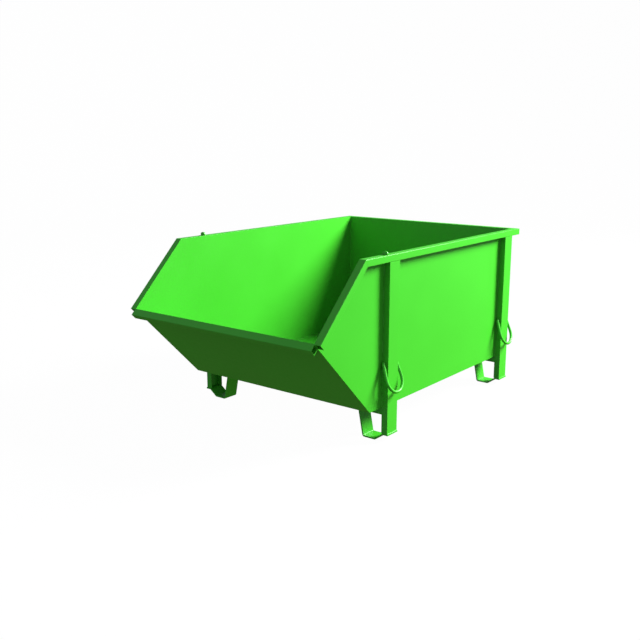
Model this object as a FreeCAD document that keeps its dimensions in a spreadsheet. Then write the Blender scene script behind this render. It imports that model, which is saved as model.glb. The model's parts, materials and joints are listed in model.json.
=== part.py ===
import FreeCAD, Part

import math
import os
import re

import Sketcher
from FreeCAD import Placement, Rotation, Vector

# Stackable loading skip with a chute front: an open welded steel tub with a rim of square tube,
# four channel posts, four bent stacking feet and four swinging lifting bails.
# Millimetres. +X right, +Y rear (the chute faces -Y), +Z up; the origin is on the ground under the
# middle of the skip.

DIMENSIONS = {
    # tub, measured over the outer faces of its plates
    "half_width": 600,
    "tub_height": 766,
    "rear_face": 947,
    "floor_front": -527,
    "floor_level": 177,
    "lip_height": 430,
    "chute_angle": 45,
    "plate": 4,
    # square tube round the rim
    "rim_size": 35,
    "rim_wall": 4,
    # channel posts, welded toes against the side panels
    "post_width": 87,
    "post_wall": 5,
    "post_front": -380,
    "post_rear": 843,
    # folded channel across the underside of the floor, from post to post
    "beam_depth": 38,
    "beam_wall": 4,
    # bent flat bar that makes a stacking foot
    "foot_width": 90,
    "foot_thick": 8,
    "foot_seat": 35,
    "foot_tip": 639,
    "foot_seat_end": 609,
    "foot_sole_out": 563,
    "foot_sole_in": 487,
    "foot_top": 459,
    "foot_bend": 6,
    # round bar lifting bail on a hinge line through the post's flanges
    "bail_bar": 16,
    "bail_pivot_out": 12,
    "bail_pivot_up": 409,
    "bail_reach": 156,
    "bail_bow": 65,
    "bail_neck": 56,
    "bail_bend": 12,
    "bail_lean": 20,
    "bail_end": 25,
    # bush in each flange, and the collar that keeps the bail's end in it
    "bush_outer": 21,
    "bush_bore": 16.1,
    "bush_length": 12,
    "collar_outer": 20,
    "collar_length": 5,
    # stacking stop on the rim
    "lug_front": -442,
    "lug_thick": 8,
    "lug_inset": 1,
    "lug_width": 30,
    "lug_height": 18.5,
    "lug_round": 12,
}

# Places worked out from the driving sizes, as text for expressions.
TURN = "(90 - chute_angle)"
RIM_TOP = "(floor_level + tub_height)"
LIP_UP = "(floor_level + lip_height)"
LIP_Y = "(floor_front - lip_height / tan(chute_angle))"
BROW_Y = f"({LIP_Y} + (tub_height - lip_height) * tan(chute_angle))"
POST_FOOT = "(foot_seat + foot_thick)"
BEAM_UNDER = "(floor_level - beam_depth)"

doc = FreeCAD.newDocument("loading_skip")
sheet = doc.addObject("Spreadsheet::Sheet", "Sizes")
for line, (alias, number) in enumerate(DIMENSIONS.items(), start=1):
    sheet.set(f"A{line}", alias)
    sheet.set(f"B{line}", str(number))
    sheet.setAlias(f"B{line}", alias)
doc.recompute()

pieces = []


def tied(text):
    """The expression with each dimension's name pointing at its cell."""
    return re.sub(r"[a-z]+(_[a-z]+)*", lambda found: "Sizes." + found.group()
                  if found.group() in DIMENSIONS else found.group(), text)


def value(text):
    """The number that an expression has now."""
    return float(sheet.evalExpression(tied(text)))


def keep(piece, label):
    """Give a finished piece its name and put it on the list to write."""
    piece.Label = label
    pieces.append(piece)
    return piece


def place(piece, x="0", y="0", z="0", turned=0, axis=Vector(0, 0, 1)):
    """Set the piece down at a point tied to the sheet, turned by a fixed angle about an axis."""
    piece.Placement = Placement(Vector(0, 0, 0), Rotation(axis, turned))
    for name, text in (("x", x), ("y", y), ("z", z)):
        piece.setExpression(f"Placement.Base.{name}", tied(text))


def new_body(name):
    return doc.addObject("PartDesign::Body", name)


def new_sketch(body, name, plane, lift="0"):
    """An empty sketch on one of the body's origin planes, lifted along the plane's normal."""
    drawing = body.newObject("Sketcher::SketchObject", name)
    flat = next(item for item in body.Origin.OriginFeatures if item.Role == plane)
    drawing.AttachmentSupport = [(flat, "")]
    drawing.MapMode = "FlatFace"
    drawing.setExpression("AttachmentOffset.Base.z", tied(lift))
    return drawing


def pin(drawing, line, end, x, y):
    """Tie a point of a sketch curve to a place from the origin; None leaves that way free."""
    for kind, text in (("DistanceX", x), ("DistanceY", y)):
        if text is None:
            continue
        number = drawing.addConstraint(Sketcher.Constraint(kind, -1, 1, line, end, value(text)))
        drawing.setExpression(f"Constraints[{number}]", tied(text))


def join(drawing, first, second):
    drawing.addConstraint(Sketcher.Constraint("Coincident", first, 2, second, 1))


def outline(body, name, plane, corners, lift="0"):
    """A closed outline of straight lines, each corner tied to the sheet."""
    drawing = new_sketch(body, name, plane, lift)
    spots = [Vector(value(x), value(y), 0) for x, y in corners]
    count = len(corners)
    for index in range(count):
        drawing.addGeometry(Part.LineSegment(spots[index], spots[(index + 1) % count]), False)
    for index in range(count):
        join(drawing, index, (index + 1) % count)
        pin(drawing, index, 1, *corners[index])
    doc.recompute()
    return drawing


def pad(body, drawing, length, midplane=False):
    """Extrude a sketch along its plane's normal, or both ways from it."""
    solid = body.newObject("PartDesign::Pad", drawing.Name + "Pad")
    solid.Profile = drawing
    solid.Midplane = midplane
    solid.setExpression("Length", tied(length))
    doc.recompute()
    return solid


def pocket(body, drawing):
    """Cut a sketch through the whole body, both ways."""
    cut = body.newObject("PartDesign::Pocket", drawing.Name + "Cut")
    cut.Profile = drawing
    cut.Type = "ThroughAll"
    cut.Midplane = True
    doc.recompute()
    return cut


def round_edges(body, base, spots, radius, name):
    """Round the edges along Y that pass through the given (x, z) spots."""
    names = []
    for number, edge in enumerate(base.Shape.Edges, start=1):
        ends = [vertex.Point for vertex in edge.Vertexes]
        for x, z in spots:
            if all(math.hypot(end.x - x, end.z - z) < 0.1 for end in ends):
                names.append(f"Edge{number}")
    bend = body.newObject("PartDesign::Fillet", name)
    bend.Base = (base, names)
    bend.setExpression("Radius", tied(radius))
    doc.recompute()
    return bend


def outward(side, near, far):
    """Where a stretch from near to far starts on the right (1) or the left (-1) of the skip."""
    return near if side > 0 else f"-({far})"


# ---- tub plates ---------------------------------------------------------------------------------

def side_panel(label, side):
    body = new_body(label)
    profile = outline(body, label + "_profile", "YZ_Plane", [
        ("floor_front", "floor_level"), ("rear_face", "floor_level"), ("rear_face", RIM_TOP),
        (BROW_Y, RIM_TOP), (LIP_Y, LIP_UP)])
    pad(body, profile, "plate")
    place(body, x=outward(side, "half_width - plate", "half_width"))
    keep(body, label)


def between_panels(label, corners):
    """A plate that runs across the tub from one side panel to the other."""
    body = new_body(label)
    profile = outline(body, label + "_profile", "YZ_Plane", corners)
    pad(body, profile, "2 * (half_width - plate)", midplane=True)
    place(body)
    keep(body, label)


FLOOR_TOP = "(floor_level + plate)"
BEND_Y = "(floor_front + plate * tan(chute_angle / 2))"
for name, side in (("side_panel_right", 1), ("side_panel_left", -1)):
    side_panel(name, side)
between_panels("floor_plate", [
    ("floor_front", "floor_level"), ("rear_face - plate", "floor_level"),
    ("rear_face - plate", FLOOR_TOP), (BEND_Y, FLOOR_TOP)])
between_panels("rear_wall", [
    ("rear_face - plate", "floor_level"), ("rear_face", "floor_level"),
    ("rear_face", RIM_TOP), ("rear_face - plate", RIM_TOP)])
between_panels("chute_plate", [
    ("floor_front", "floor_level"), (BEND_Y, FLOOR_TOP),
    (f"{LIP_Y} + plate * sin(chute_angle)", f"{LIP_UP} + plate * cos(chute_angle)"),
    (LIP_Y, LIP_UP)])


# ---- rim of square tube -------------------------------------------------------------------------

def tube(label, plane, outer, inner, start, length, shell):
    """Bar with the outer profile, and the inner profile cut out of it to leave the shell."""
    body = new_body(label)
    bar = outline(body, label + "_outer", plane, outer, start)
    pad(body, bar, length)
    bore = outline(body, label + "_inner", plane, inner, f"{start} + {length} - {shell}")
    cut = body.newObject("PartDesign::Pocket", label + "_bore")
    cut.Profile = bore
    cut.setExpression("Length", tied(f"{length} - 2 * {shell}"))
    doc.recompute()
    place(body)
    keep(body, label)
    return body


def flat_rail(label, side):
    """Tube along the top of a side panel, mitred to the sloping rail and to the rear rail."""
    low = f"{RIM_TOP} - rim_size"
    body = tube(label, "YZ_Plane", [
        (BROW_Y, RIM_TOP), ("rear_face + rim_size", RIM_TOP), ("rear_face + rim_size", low),
        (f"{BROW_Y} + rim_size * tan({TURN} / 2)", low)], [
        (f"{BROW_Y} - rim_size", f"{RIM_TOP} - rim_wall"),
        ("rear_face + 2 * rim_size", f"{RIM_TOP} - rim_wall"),
        ("rear_face + 2 * rim_size", f"{low} + rim_wall"),
        (f"{BROW_Y} - rim_size", f"{low} + rim_wall")],
        outward(side, "half_width", "half_width + rim_size"), "rim_size", "rim_wall")
    sign = "" if side > 0 else "-"
    corner = outline(body, f"{label}_mitre", "XY_Plane", [
        (f"{sign}(half_width - rim_size)", "rear_face - rim_size"),
        (f"{sign}(half_width + 2 * rim_size)", "rear_face + 2 * rim_size"),
        (f"{sign}(half_width - rim_size)", "rear_face + 2 * rim_size")])
    pocket(body, corner)


def sloping_rail(label, side):
    """Tube down the sloping edge of a side panel, its lower end open and square at the lip."""
    along_y, along_z = "sin(chute_angle)", "cos(chute_angle)"

    def upper(depth, more):
        return (f"{BROW_Y} + {depth} * tan({TURN} / 2) + {more} * {along_y}",
                f"{RIM_TOP} - {depth} + {more} * {along_z}")

    def lower(depth, more):
        return (f"{LIP_Y} + {depth} * cos(chute_angle) - {more} * {along_y}",
                f"{LIP_UP} - {depth} * sin(chute_angle) - {more} * {along_z}")

    inside = "(rim_size - rim_wall)"
    tube(label, "YZ_Plane",
         [upper("0", "0"), upper("rim_size", "0"), lower("rim_size", "0"), lower("0", "0")],
         [upper("rim_wall", "rim_size"), upper(inside, "rim_size"),
          lower(inside, "rim_size"), lower("rim_wall", "rim_size")],
         outward(side, "half_width", "half_width + rim_size"), "rim_size", "rim_wall")


def rear_rail(label):
    half, far = "(half_width + rim_size)", "rear_face + rim_size"
    near_wall, far_wall = "rear_face + rim_wall", f"{far} - rim_wall"
    tube(label, "XY_Plane",
         [("half_width", "rear_face"), (half, far), (f"-{half}", far), ("-half_width", "rear_face")],
         [(f"{half} + rim_size", near_wall), (f"{half} + rim_size", far_wall),
          (f"-{half} - rim_size", far_wall), (f"-{half} - rim_size", near_wall)],
         f"{RIM_TOP} - rim_size", "rim_size", "rim_wall")


def lip_rail(label):
    """Tube along the lip, one face in the plane of the opening and one against the chute."""

    def spot(out, back):
        return (f"{LIP_Y} - {out} * sin(chute_angle) + {back} * cos(chute_angle)",
                f"{LIP_UP} - {out} * cos(chute_angle) - {back} * sin(chute_angle)")

    inside = "(rim_size - rim_wall)"
    tube(label, "YZ_Plane",
         [spot("0", "0"), spot("rim_size", "0"), spot("rim_size", "rim_size"), spot("0", "rim_size")],
         [spot("rim_wall", "rim_wall"), spot(inside, "rim_wall"), spot(inside, inside),
          spot("rim_wall", inside)],
         "-half_width", "2 * half_width", "0")


for name, side in (("right", 1), ("left", -1)):
    flat_rail("rim_rail_" + name, side)
    sloping_rail("rim_slope_" + name, side)
rear_rail("rim_rail_rear")
lip_rail("lip_rail")


# ---- posts, beams and feet ----------------------------------------------------------------------

def channel(near, far, half, wall):
    """Corners of a channel section: two flanges from near to far and a web at far."""
    return [(near, f"-{half}"), (far, f"-{half}"), (far, half), (near, half),
            (near, f"{half} - {wall}"), (f"{far} - {wall}", f"{half} - {wall}"),
            (f"{far} - {wall}", f"-{half} + {wall}"), (near, f"-{half} + {wall}")]


def post(label, side, along):
    body = new_body(label)
    section = outline(body, label + "_section", "XY_Plane",
                      channel("0", "rim_size", "post_width / 2", "post_wall"))
    pad(body, section, f"{RIM_TOP} - rim_size - {POST_FOOT}")
    holes = new_sketch(body, label + "_holes", "XZ_Plane")
    centre_x, centre_z = "bail_pivot_out", f"bail_pivot_up - {POST_FOOT}"
    holes.addGeometry(Part.Circle(Vector(value(centre_x), value(centre_z), 0), Vector(0, 0, 1),
                                  value("bush_outer / 2")), False)
    pin(holes, 0, 3, centre_x, centre_z)
    number = holes.addConstraint(Sketcher.Constraint("Diameter", 0, value("bush_outer")))
    holes.setExpression(f"Constraints[{number}]", tied("bush_outer"))
    pocket(body, holes)
    place(body, x=f"{side} * half_width", y=along, z=POST_FOOT, turned=0 if side > 0 else 180)
    keep(body, label)


def beam(label, along):
    """Folded channel under the floor, open side up, from one side panel to the other."""
    body = new_body(label)
    half, wall = "post_width / 2", "beam_wall"
    section = outline(body, label + "_section", "YZ_Plane", [
        (f"-{half}", "beam_depth"), (f"-{half}", "0"), (half, "0"), (half, "beam_depth"),
        (f"{half} - {wall}", "beam_depth"), (f"{half} - {wall}", wall),
        (f"-{half} + {wall}", wall), (f"-{half} + {wall}", "beam_depth")])
    pad(body, section, "2 * half_width", midplane=True)
    place(body, y=along, z=BEAM_UNDER)
    keep(body, label)


def upper_face(low, thick):
    """Corners of a bent bar's upper face above those of its lower face, the last end cut level."""
    runs = [(after - here).normalize() for here, after in zip(low, low[1:])]
    faces = [Vector(run.y, -run.x, 0) for run in runs]
    high = [low[0] + faces[0] * thick]
    for here, one, two in zip(low[1:-1], faces, faces[1:]):
        middle = (one + two).normalize()
        high.append(here + middle * (thick / middle.dot(one)))
    high.append(low[-1] + Vector(thick / faces[-1].x, 0, 0))
    return high


def foot(label, side, along):
    """Flat bar bent to a seat under the post, a sole on the ground and a leg up to the beam."""
    body = new_body(label)
    under = [("foot_tip", "foot_seat"), ("foot_seat_end", "foot_seat"), ("foot_sole_out", "0"),
             ("foot_sole_in", "0"), ("foot_top", BEAM_UNDER)]
    low = [Vector(value(x), value(z), 0) for x, z in under]
    high = upper_face(low, value("foot_thick"))
    drawing = new_sketch(body, label + "_profile", "XZ_Plane")
    loop = low + high[::-1]
    last = len(low) - 1
    for index, spot in enumerate(loop):
        drawing.addGeometry(Part.LineSegment(spot, loop[(index + 1) % len(loop)]), False)
    for index in range(len(loop)):
        join(drawing, index, (index + 1) % len(loop))
    for index, (x, z) in enumerate(under):
        pin(drawing, index, 1, x, z)
    drawing.addConstraint(Sketcher.Constraint("Horizontal", last))
    drawing.addConstraint(Sketcher.Constraint("Vertical", len(loop) - 1))
    for index in range(last):
        above = len(loop) - 2 - index
        drawing.addConstraint(Sketcher.Constraint("Parallel", index, above))
        number = drawing.addConstraint(Sketcher.Constraint("Distance", index, 1, above,
                                                           value("foot_thick")))
        drawing.setExpression(f"Constraints[{number}]", tied("foot_thick"))
    doc.recompute()
    bar = pad(body, drawing, "foot_width", midplane=True)
    tight = [(low[1].x, low[1].y)] + [(spot.x, spot.y) for spot in high[2:4]]
    wide = [(high[1].x, high[1].y)] + [(spot.x, spot.y) for spot in low[2:4]]
    bend = round_edges(body, bar, tight, "foot_bend", label + "_bend_inside")
    round_edges(body, bend, wide, "foot_bend + foot_thick", label + "_bend_outside")
    place(body, y=along, turned=0 if side > 0 else 180)
    keep(body, label)


# ---- lifting bails ------------------------------------------------------------------------------

def bail(label, side, along):
    """Round bar: two ends on the hinge line, and a round bow on legs that close in towards it."""
    body = new_body(label)
    path = new_sketch(body, label + "_path", "YZ_Plane")
    bow, neck, bend = value("bail_bow"), value("bail_neck"), value("bail_bend")
    low = value("bail_bow - bail_reach")
    drop = math.hypot(neck - bend, -bend - low)
    splay = math.atan2(-bend - low, neck - bend) - math.acos((bow - bend) / drop)
    away, rise = math.cos(splay), math.sin(splay)

    def line(start, stop):
        return Part.LineSegment(Vector(*start, 0), Vector(*stop, 0))

    def arc(centre, radius, first, last):
        circle = Part.Circle(Vector(*centre, 0), Vector(0, 0, 1), radius)
        return Part.ArcOfCircle(circle, first, last)

    upper, lower = (neck - bend + bend * away, bend * rise - bend), (bow * away, low + bow * rise)
    path.addGeometry([
        line((value("bail_end"), 0), (neck - bend, 0)),
        arc((neck - bend, -bend), bend, splay, math.pi / 2),
        line(upper, lower),
        arc((0, low), bow, math.pi - splay, 2 * math.pi + splay),
        line((-lower[0], lower[1]), (-upper[0], upper[1])),
        arc((bend - neck, -bend), bend, math.pi / 2, math.pi - splay),
        line((bend - neck, 0), (-value("bail_end"), 0))], False)
    for first, tip, second, other in (
            (0, 2, 1, 2), (1, 1, 2, 1), (2, 2, 3, 2), (3, 1, 4, 1), (4, 2, 5, 2), (5, 1, 6, 1)):
        path.addConstraint(Sketcher.Constraint("Tangent", first, tip, second, other))
    for curve, tip, y, z in (
            (0, 1, "bail_end", "0"), (1, 3, "bail_neck - bail_bend", "-bail_bend"),
            (3, 3, "0", "bail_bow - bail_reach"), (5, 3, "bail_bend - bail_neck", "-bail_bend"),
            (6, 2, "-bail_end", "0")):
        pin(path, curve, tip, y, z)
    for curve, size in ((1, "bail_bend"), (3, "bail_bow"), (5, "bail_bend")):
        number = path.addConstraint(Sketcher.Constraint("Radius", curve, value(size)))
        path.setExpression(f"Constraints[{number}]", tied(size))
    section = new_sketch(body, label + "_section", "XZ_Plane", "-bail_end")
    section.addGeometry(Part.Circle(Vector(0, 0, 0), Vector(0, 0, 1), value("bail_bar / 2")), False)
    section.addConstraint(Sketcher.Constraint("Coincident", 0, 3, -1, 1))
    number = section.addConstraint(Sketcher.Constraint("Diameter", 0, value("bail_bar")))
    section.setExpression(f"Constraints[{number}]", tied("bail_bar"))
    doc.recompute()
    bar = body.newObject("PartDesign::AdditivePipe", label + "_bar")
    bar.Profile = section
    bar.Spine = path
    doc.recompute()
    lean = -side * DIMENSIONS["bail_lean"]
    place(body, x=f"{side} * (half_width + bail_pivot_out)", y=along, z="bail_pivot_up",
          turned=lean, axis=Vector(0, 1, 0))
    keep(body, label)


def ring_pair(label, outer, bore, near, length, side, along):
    """Two rings on the hinge line, one at each end of the post's width, open along it."""
    blanks = []
    for index, start in enumerate((near, f"-({near}) - {length}")):
        ring = doc.addObject("Part::Cylinder", f"{label}_blank{index}")
        ring.setExpression("Radius", tied(f"{outer} / 2"))
        ring.setExpression("Height", tied(length))
        ring.Placement = Placement(Vector(0, 0, 0), Rotation(Vector(1, 0, 0), -90))
        ring.setExpression("Placement.Base.y", tied(start))
        blanks.append(ring)
    both = doc.addObject("Part::Compound", label + "_blanks")
    both.Links = blanks
    tool = doc.addObject("Part::Cylinder", label + "_hole")
    tool.setExpression("Radius", tied(f"{bore} / 2"))
    tool.setExpression("Height", tied("2 * post_width"))
    tool.Placement = Placement(Vector(0, 0, 0), Rotation(Vector(1, 0, 0), -90))
    tool.setExpression("Placement.Base.y", tied("-post_width"))
    rings = doc.addObject("Part::Cut", label)
    rings.Base = both
    rings.Tool = tool
    place(rings, x=f"{side} * (half_width + bail_pivot_out)", y=along, z="bail_pivot_up")
    keep(rings, label)


# ---- stacking stops -----------------------------------------------------------------------------

def lug(label, side):
    """Upright plate across the rim that stops the skip above from sliding forward."""
    body = new_body(label)
    left = outward(side, "half_width + lug_inset", "half_width + lug_inset + lug_width")
    right = f"{left} + lug_width"
    face = outline(body, label + "_face", "XZ_Plane", [
        (left, "0"), (right, "0"), (right, "lug_height"), (left, "lug_height")])
    plate = pad(body, face, "lug_thick", midplane=True)
    top = [(value(x), value("lug_height")) for x in (left, right)]
    round_edges(body, plate, top, "lug_round", label + "_round")
    place(body, y="lug_front + lug_thick / 2", z=RIM_TOP)
    keep(body, label)


for end, along in (("front", "post_front"), ("rear", "post_rear")):
    beam("beam_" + end, along)
    for name, side in (("right", 1), ("left", -1)):
        where = f"{end}_{name}"
        post("post_" + where, side, along)
        foot("foot_" + where, side, along)
        bail("bail_" + where, side, along)
        ring_pair("bail_bushes_" + where, "bush_outer", "bush_bore",
                  "post_width / 2 - bush_length", "bush_length", side, along)
        ring_pair("bail_collars_" + where, "collar_outer", "bail_bar",
                  "bail_end", "collar_length", side, along)
for name, side in (("right", 1), ("left", -1)):
    lug("stacking_stop_" + name, side)

# ---- checks and files ---------------------------------------------------------------------------

doc.recompute()
faults = [item.Label for item in doc.Objects if "Invalid" in item.State or "Error" in item.State]
faults += [piece.Label for piece in pieces if piece.Shape.isNull() or not piece.Shape.isValid()]
if faults:
    raise RuntimeError("failed objects: " + ", ".join(faults))

os.makedirs("parts", exist_ok=True)
for piece in pieces:
    piece.Shape.exportStep(f"parts/{piece.Label}.step")
    box = piece.Shape.BoundBox
    print(f"{piece.Label}: {len(piece.Shape.Solids)} solid, {piece.Shape.Volume / 1000:.1f} cm3, "
          f"x {box.XMin:.1f} {box.XMax:.1f} y {box.YMin:.1f} {box.YMax:.1f} "
          f"z {box.ZMin:.1f} {box.ZMax:.1f}")
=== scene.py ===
import json
import math
import random

import bmesh
import bpy
from mathutils import Matrix, Vector


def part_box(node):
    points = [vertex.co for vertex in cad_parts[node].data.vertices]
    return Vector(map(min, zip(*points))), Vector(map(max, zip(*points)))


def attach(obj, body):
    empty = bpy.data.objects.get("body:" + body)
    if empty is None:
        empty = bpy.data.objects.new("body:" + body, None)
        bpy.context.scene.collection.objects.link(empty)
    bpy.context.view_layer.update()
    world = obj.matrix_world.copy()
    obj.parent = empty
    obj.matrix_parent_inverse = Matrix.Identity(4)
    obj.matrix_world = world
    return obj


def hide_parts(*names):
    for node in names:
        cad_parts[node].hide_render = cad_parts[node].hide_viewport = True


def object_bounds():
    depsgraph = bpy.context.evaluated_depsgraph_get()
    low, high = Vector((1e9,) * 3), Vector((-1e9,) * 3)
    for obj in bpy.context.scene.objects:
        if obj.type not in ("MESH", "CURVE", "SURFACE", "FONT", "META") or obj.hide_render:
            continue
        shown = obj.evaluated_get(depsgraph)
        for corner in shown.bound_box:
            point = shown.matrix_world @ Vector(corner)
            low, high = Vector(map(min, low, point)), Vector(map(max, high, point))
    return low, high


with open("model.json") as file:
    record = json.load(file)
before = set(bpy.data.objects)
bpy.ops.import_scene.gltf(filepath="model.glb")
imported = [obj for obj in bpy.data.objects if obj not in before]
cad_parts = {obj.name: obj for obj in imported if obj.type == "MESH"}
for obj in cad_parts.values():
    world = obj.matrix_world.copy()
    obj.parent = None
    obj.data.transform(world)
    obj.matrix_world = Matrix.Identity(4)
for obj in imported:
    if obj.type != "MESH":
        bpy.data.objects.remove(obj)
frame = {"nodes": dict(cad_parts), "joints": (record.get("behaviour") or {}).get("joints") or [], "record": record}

# A steel loading skip with a chute front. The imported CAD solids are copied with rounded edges, the
# lifting bails are swept anew, and weld beads are laid along the joins. Lengths are in metres.

CAD_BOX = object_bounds()
NODES = frame["nodes"]
BODY_OF = {node: body for body, members in frame["record"]["behaviour"]["bodies"].items()
           for node in members}
SIDES = {"right": 1, "left": -1}
ENDS = ("front", "rear")
CORNERS = [(end, side) for end in ENDS for side in SIDES]
MM = 0.001


# ---- shader helpers -----------------------------------------------------------------------------

class Nodes:
    """A material's or world's node tree, with short calls to add and join nodes."""

    def __init__(self, owner):
        owner.use_nodes = True
        self.tree = owner.node_tree
        self.tree.nodes.clear()

    def add(self, kind, values=(), **settings):
        node = self.tree.nodes.new("ShaderNode" + kind)
        for key, value in settings.items():
            setattr(node, key, value)
        for key, value in dict(values).items():
            if isinstance(value, bpy.types.NodeSocket):
                self.tree.links.new(value, node.inputs[key])
            else:
                node.inputs[key].default_value = value
        return node

    def noise(self, where, scale, detail=2.0, rough=0.5, distort=0.0):
        return self.add("TexNoise", {"Vector": where, "Scale": scale, "Detail": detail,
                                     "Roughness": rough, "Distortion": distort}).outputs["Fac"]

    def span(self, value, low, high, to_low=0.0, to_high=1.0):
        return self.add("MapRange", {"Value": value, "From Min": low, "From Max": high,
                                     "To Min": to_low, "To Max": to_high}).outputs["Result"]

    def maths(self, how, one, two=0.0):
        return self.add("Math", {0: one, 1: two}, operation=how).outputs[0]

    def mix(self, factor, one, two, blend="MIX"):
        node = self.add("Mix", {"Factor": factor}, data_type="RGBA", blend_type=blend)
        for socket, value in ((node.inputs[6], one), (node.inputs[7], two)):
            if isinstance(value, bpy.types.NodeSocket):
                self.tree.links.new(value, socket)
            else:
                socket.default_value = value
        return node.outputs[2]


def rgb(red, green, blue):
    return (red, green, blue, 1.0)


# ---- materials ----------------------------------------------------------------------------------

GREEN = (0.0370, 0.360, 0.0155)


def enamel(name):
    """Semi-gloss enamel sprayed over welded plate."""
    material = bpy.data.materials.new(name)
    n = Nodes(material)
    place = n.add("TexCoord").outputs["Object"]
    clouds = n.noise(place, 2.2, 3.0)
    film = n.noise(place, 70.0, 2.0)
    peel = n.noise(place, 420.0, 2.0, 0.55)
    deep = rgb(*(0.955 * c for c in GREEN))
    full = rgb(*(1.03 * c for c in GREEN))
    colour = n.mix(n.span(clouds, 0.3, 0.7), deep, full)
    colour = n.mix(n.span(film, 0.35, 0.75, 0.0, 0.06), colour, rgb(0.056, 0.376, 0.030))
    rough = n.maths("ADD", n.span(clouds, 0.3, 0.7, 0.33, 0.38), n.span(film, 0.3, 0.7, -0.03, 0.03))
    bump = n.add("Bump", {"Strength": 0.06, "Distance": 0.0002, "Height": peel})
    shader = n.add("BsdfPrincipled", {"Base Color": colour, "Roughness": rough,
                                      "Normal": bump.outputs["Normal"]})
    shader.inputs["Specular IOR Level"].default_value = 0.27
    n.add("OutputMaterial", {"Surface": shader.outputs["BSDF"]})
    return material


def steel(name):
    """Turned steel with a film of grease."""
    material = bpy.data.materials.new(name)
    n = Nodes(material)
    place = n.add("TexCoord").outputs["Object"]
    stain = n.noise(place, 160.0, 4.0, 0.6)
    lathe = n.add("TexWave", {"Vector": place, "Scale": 900.0, "Distortion": 0.6, "Detail": 2.0},
                  bands_direction="Y").outputs["Fac"]
    colour = n.mix(n.span(stain, 0.35, 0.7), rgb(0.42, 0.42, 0.40), rgb(0.20, 0.19, 0.17))
    bump = n.add("Bump", {"Strength": 0.3, "Distance": 0.00008, "Height": lathe})
    shader = n.add("BsdfPrincipled", {"Base Color": colour,
                                      "Roughness": n.span(stain, 0.3, 0.7, 0.30, 0.55),
                                      "Normal": bump.outputs["Normal"]})
    shader.inputs["Metallic"].default_value = 1.0
    n.add("OutputMaterial", {"Surface": shader.outputs["BSDF"]})
    return material


PAINT = enamel("green_enamel")
STEEL = steel("turned_steel")


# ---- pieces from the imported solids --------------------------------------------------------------

def finish_piece(piece, node, material):
    piece.data.materials.clear()
    piece.data.materials.append(material)
    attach(piece, BODY_OF[node])


def soften(node, rule, widest, segments=3, material=PAINT):
    """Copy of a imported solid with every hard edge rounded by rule(edge) times the widest radius."""
    mesh = bpy.data.meshes.new("soft_" + node)
    bm = bmesh.new()
    bm.from_mesh(NODES[node].data)
    bmesh.ops.remove_doubles(bm, verts=bm.verts, dist=2e-6)
    bmesh.ops.dissolve_limit(bm, angle_limit=math.radians(0.5), verts=bm.verts, edges=bm.edges)
    weight = bm.edges.layers.float.new("bevel_weight_edge")
    for edge in bm.edges:
        if len(edge.link_faces) == 2 and edge.calc_face_angle() > math.radians(28):
            edge[weight] = rule(edge)
    for face in bm.faces:
        face.smooth = True
    bm.to_mesh(mesh)
    bm.free()
    piece = bpy.data.objects.new("soft_" + node, mesh)
    bpy.context.scene.collection.objects.link(piece)
    bevel = piece.modifiers.new("rounding", "BEVEL")
    bevel.limit_method = "WEIGHT"
    bevel.width = widest
    bevel.segments = segments
    bevel.miter_outer = "MITER_ARC"
    normals = piece.modifiers.new("normals", "WEIGHTED_NORMAL")
    normals.keep_sharp = True
    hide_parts(node)
    finish_piece(piece, node, material)
    return piece


CHUTE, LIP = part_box("chute_plate"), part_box("lip_rail")
PANEL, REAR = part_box("side_panel_right"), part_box("rear_wall")
POST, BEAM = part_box("post_front_right"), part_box("beam_front")
FULL, INSIDE, CUT, TIGHT = 1.0, 0.35, 0.2, 0.15


def long_edge(edge, axis):
    """Whether an edge runs along an axis, down the length of a folded bar."""
    run = edge.verts[1].co - edge.verts[0].co
    return abs(run.normalized()[axis]) > 0.95 and edge.calc_length() > 0.3


def even_rule(edge):
    return FULL


def tube_rule(edge):
    """Square tube: round corners down its length, tight where it lies on the tub's plates."""
    if not edge.is_convex or edge.calc_length() < 0.1:
        return TIGHT
    ends = [spot.co for spot in edge.verts]
    on_panel = all(abs(spot.x) < PANEL[1].x + 1 * MM for spot in ends)
    on_rear = all(abs(spot.y - REAR[1].y) < 5 * MM for spot in ends)
    return TIGHT if on_panel or on_rear else FULL


def lip_rule(edge):
    """The lip's tube, tight along its two edges on the chute plate."""
    if not edge.is_convex or edge.calc_length() < 0.1:
        return TIGHT
    spot = edge.verts[0].co
    return TIGHT if spot.y + spot.z > CHUTE[0].y + LIP[1].z - 2 * MM else FULL


def post_rule(edge):
    """Folded channel: bend radii down its length, and small breaks on the cut edges."""
    if not long_edge(edge, 2):
        return CUT
    if not edge.is_convex:
        return INSIDE
    return FULL if abs(edge.verts[0].co.x) > POST[1].x - 1 * MM else CUT


def beam_rule(edge):
    """As post_rule, for a channel that lies across the floor with its web down."""
    if not long_edge(edge, 0):
        return CUT
    if not edge.is_convex:
        return INSIDE
    return FULL if edge.verts[0].co.z < BEAM[0].z + 1 * MM else CUT


for name in ("side_panel_right", "side_panel_left", "rear_wall", "floor_plate", "chute_plate"):
    soften(name, even_rule, 0.8 * MM, 2)
for name in ("rim_rail_right", "rim_rail_left", "rim_slope_right", "rim_slope_left",
             "rim_rail_rear"):
    soften(name, tube_rule, 2.5 * MM)
soften("lip_rail", lip_rule, 2.5 * MM)
for end in ENDS:
    soften("beam_" + end, beam_rule, 4.0 * MM)
for end, side in CORNERS:
    where = f"{end}_{side}"
    soften("post_" + where, post_rule, 2.5 * MM)
    soften("foot_" + where, even_rule, 0.9 * MM)
    soften("bail_bushes_" + where, even_rule, 0.4 * MM, 2)
    soften("bail_collars_" + where, even_rule, 0.4 * MM, 2, STEEL)
for side in SIDES:
    soften("stacking_stop_" + side, even_rule, 0.8 * MM)


# ---- lifting bails ------------------------------------------------------------------------------

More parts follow.
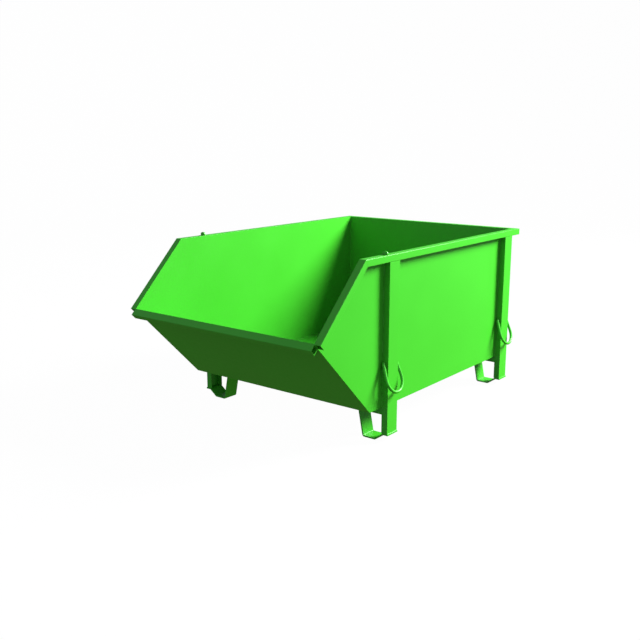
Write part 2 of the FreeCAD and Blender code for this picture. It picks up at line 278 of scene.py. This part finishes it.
BAR, BOW, NECK, REACH, BEND, TAIL = 0.016, 0.065, 0.056, 0.156, 0.012, 0.025
LEAN = math.radians(20)


def arc(centre, radius, first, last, steps):
    return [Vector((centre[0] + radius * math.cos(a), centre[1] + radius * math.sin(a)))
            for a in (first + (last - first) * i / steps for i in range(steps + 1))]


def bail_path():
    """Points of the bar's centreline in the plane of the bail, from one end to the other."""
    low = BOW - REACH
    drop = math.hypot(NECK - BEND, -BEND - low)
    splay = math.atan2(-BEND - low, NECK - BEND) - math.acos((BOW - BEND) / drop)
    neck = arc((NECK - BEND, -BEND), BEND, math.pi / 2, splay, 12)
    bow = arc((0, low), BOW, splay, -math.pi / 2, 26)
    leg = [neck[-1].lerp(bow[0], i / 5) for i in range(1, 5)]
    half = [Vector((TAIL, 0))] + neck + leg + bow
    return half + [Vector((-spot.x, spot.y)) for spot in half[-2::-1]]


def bar_rings(path, radius, around):
    """Rings of points round a plane path, with a small chamfer at each end."""
    rings = []
    for i, spot in enumerate(path):
        before, after = path[max(i - 1, 0)], path[min(i + 1, len(path) - 1)]
        run = (after - before).normalized()
        side = Vector((-run.y, run.x))
        sizes = [(0.0, 1.0)]
        if i == 0:
            sizes = [(0.0, 0.86), (0.0012, 1.0)]
        if i == len(path) - 1:
            sizes = [(-0.0012, 1.0), (0.0, 0.86)]
        for shift, share in sizes:
            ring = []
            for k in range(around):
                turn = 2 * math.pi * k / around
                flat = spot + run * shift + side * (radius * share * math.cos(turn))
                ring.append(Vector((radius * share * math.sin(turn), flat.x, flat.y)))
            rings.append(ring)
    return rings


def skin(rings):
    """Mesh through rings of equal length, capped at both ends."""
    bm = bmesh.new()
    rows = [[bm.verts.new(p) for p in ring] for ring in rings]
    count = len(rows[0])
    for one, two in zip(rows, rows[1:]):
        for k in range(count):
            bm.faces.new((one[k], one[(k + 1) % count], two[(k + 1) % count], two[k]))
    bm.faces.new(rows[0][::-1])
    bm.faces.new(rows[-1])
    bmesh.ops.recalc_face_normals(bm, faces=bm.faces)
    for face in bm.faces:
        face.smooth = True
    mesh = bpy.data.meshes.new("skin")
    bm.to_mesh(mesh)
    bm.free()
    return mesh


HINGES = {joint["child"]: Vector(joint["pos_m"]) for joint in frame["joints"]}
for end, side in CORNERS:
    node = f"bail_{end}_{side}"
    mesh = skin(bar_rings(bail_path(), BAR / 2, 28))
    mesh.transform(Matrix.Translation(HINGES[node])
                   @ Matrix.Rotation(-SIDES[side] * LEAN, 4, "Y"))
    piece = bpy.data.objects.new("bar_" + node, mesh)
    bpy.context.scene.collection.objects.link(piece)
    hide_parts(node)
    finish_piece(piece, node, PAINT)


# ---- weld beads ---------------------------------------------------------------------------------

RNG = random.Random(41)


def bead(bm, start, end, one, two, out=None, leg=3.0 * MM, rise=0.6 * MM, pitch=5.5 * MM):
    """Rippled bead from start to end, its toes on the faces that run off along one and two."""
    out = out or (one + two).normalized()
    length = (end - start).length
    count = max(6, round(length / (0.36 * pitch)))
    phase, sway, rings = RNG.uniform(0, 6), 0.0, []
    for i in range(count + 1):
        share = i / count
        sway = 0.85 * sway + RNG.uniform(-0.035, 0.035)
        taper = min(1.0, 0.45 + min(share, 1 - share) * length / (1.2 * leg))
        width = leg * taper * (1 + sway)
        ripple = 0.35 * math.cos(2 * math.pi * share * length / pitch + phase)
        height = rise * taper * (1 + sway + ripple)
        spot = start.lerp(end, share)
        ring = [spot - out * 0.4 * MM, spot + one * width - out * 0.2 * MM]
        for t in (0.2, 0.5, 0.8):
            crown = out * height * 4 * t * (1 - t)
            ring.append(spot + one * width * (1 - t) + two * width * t + crown)
        ring.append(spot + two * width - out * 0.2 * MM)
        rings.append([bm.verts.new(point) for point in ring])
    for here, after in zip(rings, rings[1:]):
        for k in range(6):
            bm.faces.new((here[k], here[(k + 1) % 6], after[(k + 1) % 6], after[k]))
    bm.faces.new(rings[0][::-1])
    bm.faces.new(rings[-1])


def stitched(bm, start, end, one, two, stitch=0.06, space=0.15):
    """Short beads at even spaces from start to end."""
    run = end - start
    count = max(1, round((run.length - stitch) / space))
    for i in range(count + 1):
        first = start + run.normalized() * ((run.length - stitch) * i / count)
        bead(bm, first, first + run.normalized() * stitch, one, two)


def weld_piece(name, fill):
    bm = bmesh.new()
    fill(bm)
    bmesh.ops.recalc_face_normals(bm, faces=bm.faces)
    for face in bm.faces:
        face.smooth = True
    mesh = bpy.data.meshes.new(name)
    bm.to_mesh(mesh)
    bm.free()
    mesh.materials.append(PAINT)
    piece = bpy.data.objects.new(name, mesh)
    bpy.context.scene.collection.objects.link(piece)
    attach(piece, "skip")


X, Y, Z = Vector((1, 0, 0)), Vector((0, 1, 0)), Vector((0, 0, 1))
FLOOR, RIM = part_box("floor_plate"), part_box("rim_rail_right")
INNER, OUTER, TUBE = PANEL[0].x, PANEL[1].x, RIM[1].z - RIM[0].z
SLOPE = Vector((0, RIM[0].y - CHUTE[0].y, RIM[1].z - LIP[1].z)).normalized()
DOWN = Vector((0, SLOPE.z, -SLOPE.y))
BROW, CORNER = Vector((0, RIM[0].y, RIM[1].z)), Vector((0, CHUTE[0].y, LIP[1].z))
KNEE = Vector((0, FLOOR[0].y, FLOOR[0].z))


def tub_seams(bm):
    """Inside the tub: floor, rear wall and chute to the side panels, and floor to rear wall."""
    up, back = FLOOR[1].z, REAR[0].y
    for side in SIDES.values():
        wall, inwards = X * (side * INNER), X * -side
        bead(bm, wall + Y * (KNEE.y + 0.006) + Z * up, wall + Y * back + Z * up, Z, inwards)
        bead(bm, wall + Y * back + Z * up, wall + Y * back + Z * (RIM[1].z - 0.004), -Y, inwards)
        lift = SLOPE * (CHUTE[1].z - LIP[1].z) / SLOPE.z
        bead(bm, wall + CORNER + lift + DOWN * 0.004, wall + KNEE + lift, SLOPE, inwards)
    bead(bm, X * -INNER + Y * back + Z * up, X * INNER + Y * back + Z * up, Z, -Y)


def corner_seams(bm):
    """Outside corners of the tub, where a plate's edge lies flush with the next plate's face."""
    for side in SIDES.values():
        edge, across = X * (side * INNER), X * side
        bead(bm, edge + KNEE, edge + CORNER + DOWN * (TUBE + 1 * MM), -across, across, -SLOPE,
             rise=0.4 * MM)
        bead(bm, edge + Y * REAR[1].y + Z * (FLOOR[0].z + 0.003),
             edge + Y * REAR[1].y + Z * (RIM[0].z - 0.002), -across, across, Y, rise=0.4 * MM)


def rim_seams(bm):
    """Under the rim tubes; the seams on top of them are dressed flush."""
    under, back = RIM[0].z, REAR[1].y
    posts = [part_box("post_front_right"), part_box("post_rear_right")]
    gaps = [(BROW.y + 0.02, posts[0][0].y), (posts[0][1].y, posts[1][0].y), (posts[1][1].y, back)]
    for side in SIDES.values():
        edge, out = X * (side * OUTER), X * side
        for first, last in gaps:
            bead(bm, edge + Y * (first + 0.004) + Z * under,
                 edge + Y * (last - 0.004) + Z * under, -Z, out)
        low = DOWN * TUBE
        bead(bm, edge + BROW + low - SLOPE * 0.02, edge + CORNER + low + SLOPE * 0.004, DOWN, out)
    bead(bm, X * -INNER + Y * back + Z * under, X * INNER + Y * back + Z * under, -Z, Y)
    low, half = CORNER + DOWN * TUBE, X * 0.58
    stitched(bm, low - half, low + half, -SLOPE, DOWN)


def post_seams(bm):
    """Toes of the posts on the side panels, and the posts' lower ends on the feet."""
    for end, name in CORNERS:
        low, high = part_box(f"post_{end}_{name}")
        side = SIDES[name]
        panel, out = X * (side * OUTER), X * side
        face = X * (side * max(abs(low.x), abs(high.x)))
        hinge = HINGES[f"bail_{end}_{name}"].z
        for y, away in ((low.y, -Y), (high.y, Y)):
            for first, last in ((FLOOR[0].z + 0.004, hinge - 0.03), (hinge + 0.05, high.z - 0.004)):
                stitched(bm, panel + Y * y + Z * first, panel + Y * y + Z * last, out, away)
        foot = face + Z * low.z
        bead(bm, foot + Y * (low.y + 0.003), foot + Y * (high.y - 0.003), Z, out)


BAR_ACROSS = 8.2 * MM    # the foot's flat bar, measured level across its leaning leg


def under_seams(bm):
    """Feet to the beams, and the beams to the floor."""
    for end in ENDS:
        low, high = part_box("beam_" + end)
        for y, away in ((low.y, -Y), (high.y, Y)):
            line, half = Y * y + Z * high.z, X * 0.585
            stitched(bm, line - half, line + half, -Z, away)
        for name, side in SIDES.items():
            near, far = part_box(f"foot_{end}_{name}")
            inner = min(abs(near.x), abs(far.x))
            leg = Vector((side * 0.2, 0, -1)).normalized()
            for x, away in ((inner, -side), (inner + BAR_ACROSS, side)):
                root = X * (side * x) + Z * low.z
                bead(bm, root + Y * (near.y + 0.003), root + Y * (far.y - 0.003), leg, X * away)


def stop_seams(bm):
    """Stacking stops to the rim."""
    for name in SIDES:
        low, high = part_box("stacking_stop_" + name)
        for y, away in ((low.y, -Y), (high.y, Y)):
            bead(bm, Vector((low.x + 0.001, y, low.z)), Vector((high.x - 0.001, y, low.z)), Z, away,
                 leg=2.6 * MM)


for name, fill in (("weld_tub_inside", tub_seams), ("weld_tub_corners", corner_seams),
                   ("weld_rim", rim_seams), ("weld_posts", post_seams),
                   ("weld_underside", under_seams), ("weld_stacking_stops", stop_seams)):
    weld_piece(name, fill)


# ---- floor, light and camera --------------------------------------------------------------------

FLAT_RINGS, FLAT_EDGE, CURVE, WALL_TOP, AROUND = (1.0, 2.5, 6.0), 10.0, 4.0, 9.0, 64


def studio():
    """Round white floor that curves up into a wall. It gives an even ground and takes no shadows."""
    middle = (CAD_BOX[0] + CAD_BOX[1]) / 2
    levels = [(radius, 0.0) for radius in FLAT_RINGS + (FLAT_EDGE,)]
    for angle in range(10, 91, 10):
        turn = math.radians(angle)
        levels.append((FLAT_EDGE + CURVE * math.sin(turn), CURVE * (1 - math.cos(turn))))
    levels.append((FLAT_EDGE + CURVE, WALL_TOP))
    bm = bmesh.new()
    centre = bm.verts.new((middle.x, middle.y, 0.0))
    rows = []
    for radius, z in levels:
        turns = [2 * math.pi * k / AROUND for k in range(AROUND)]
        rows.append([bm.verts.new((middle.x + radius * math.cos(turn),
                                   middle.y + radius * math.sin(turn), z)) for turn in turns])
    for k in range(AROUND):
        bm.faces.new((centre, rows[0][k], rows[0][(k + 1) % AROUND]))
    for one, two in zip(rows, rows[1:]):
        for k in range(AROUND):
            bm.faces.new((one[k], two[k], two[(k + 1) % AROUND], one[(k + 1) % AROUND]))
    for face in bm.faces:
        face.smooth = True
    mesh = bpy.data.meshes.new("studio_floor")
    bm.to_mesh(mesh)
    bm.free()
    floor = bpy.data.objects.new("studio_floor", mesh)
    bpy.context.scene.collection.objects.link(floor)
    material = bpy.data.materials.new("studio_white")
    n = Nodes(material)
    diffuse = n.add("BsdfDiffuse", {"Color": rgb(0.012, 0.012, 0.012)})
    glow = n.add("Emission", {"Color": rgb(1, 1, 1), "Strength": 0.984})
    both = n.add("AddShader", {0: diffuse.outputs[0], 1: glow.outputs[0]})
    n.add("OutputMaterial", {"Surface": both.outputs[0]})
    mesh.materials.append(material)
    floor.visible_diffuse = False
    floor.visible_glossy = False
    floor.visible_shadow = False


# Sky colours below, at and above the horizon, to the front (-Y) and to the rear (+Y).
FRONT_SKY = (rgb(0.08, 0.09, 0.09), rgb(0.54, 0.50, 0.72), rgb(0.60, 0.54, 0.78))
REAR_SKY = (rgb(0.18, 0.30, 0.05), rgb(0.24, 0.37, 0.22), rgb(0.17, 0.20, 0.18))
KEY_TARGET, KEY_AWAY = Vector((0.6, 0.2, 0.5)), 7.2


def lights():
    """One broad lamp to the rear right, and a dim sky that is brighter on the right."""
    towards = Vector((0.517, 0.628, 0.582)).normalized()
    lamp = bpy.data.lights.new("key", "AREA")
    lamp.shape = "DISK"
    lamp.size = 3.38
    lamp.energy = 2265.0
    lamp.color = (0.97, 0.99, 0.94)
    key = bpy.data.objects.new("key", lamp)
    key.location = KEY_TARGET + towards * KEY_AWAY
    key.rotation_euler = towards.to_track_quat("Z", "Y").to_euler()
    bpy.context.scene.collection.objects.link(key)
    world = bpy.data.worlds.new("soft_room")
    bpy.context.scene.world = world
    n = Nodes(world)
    way = n.add("SeparateXYZ", {0: n.add("TexCoord").outputs["Generated"]})
    sides = []
    for low, level, high in (FRONT_SKY, REAR_SKY):
        ramp = n.add("ValToRGB", {"Fac": n.span(way.outputs["Z"], -1.0, 1.0)})
        stops = ramp.color_ramp.elements
        stops[0].color, stops[1].color = low, high
        stops.new(0.34).color = low
        stops.new(0.43).color = level
        stops.new(0.50).color = level
        stops.new(0.57).color = high
        sides.append(ramp.outputs["Color"])
    back = n.add("Background", {"Color": n.mix(n.span(way.outputs["Y"], -1.0, 1.0), *sides),
                                "Strength": n.span(way.outputs["X"], -1.0, 1.0, 0.65, 1.35)})
    n.add("OutputWorld", {"Surface": back.outputs[0]})


def camera():
    """The photograph's viewpoint, to the front right and a little above."""
    data = bpy.data.cameras.new("camera")
    data.sensor_width = 36.0
    data.lens = 46.578
    eye = bpy.data.objects.new("camera", data)
    eye.location = (2.7808, -3.6829, 1.5108)
    eye.rotation_euler = (math.radians(90 - 12.796), 0.0, math.radians(38.2554))
    bpy.context.scene.collection.objects.link(eye)
    bpy.context.scene.camera = eye


studio()
lights()
camera()
bpy.context.scene.view_settings.view_transform = "Standard"
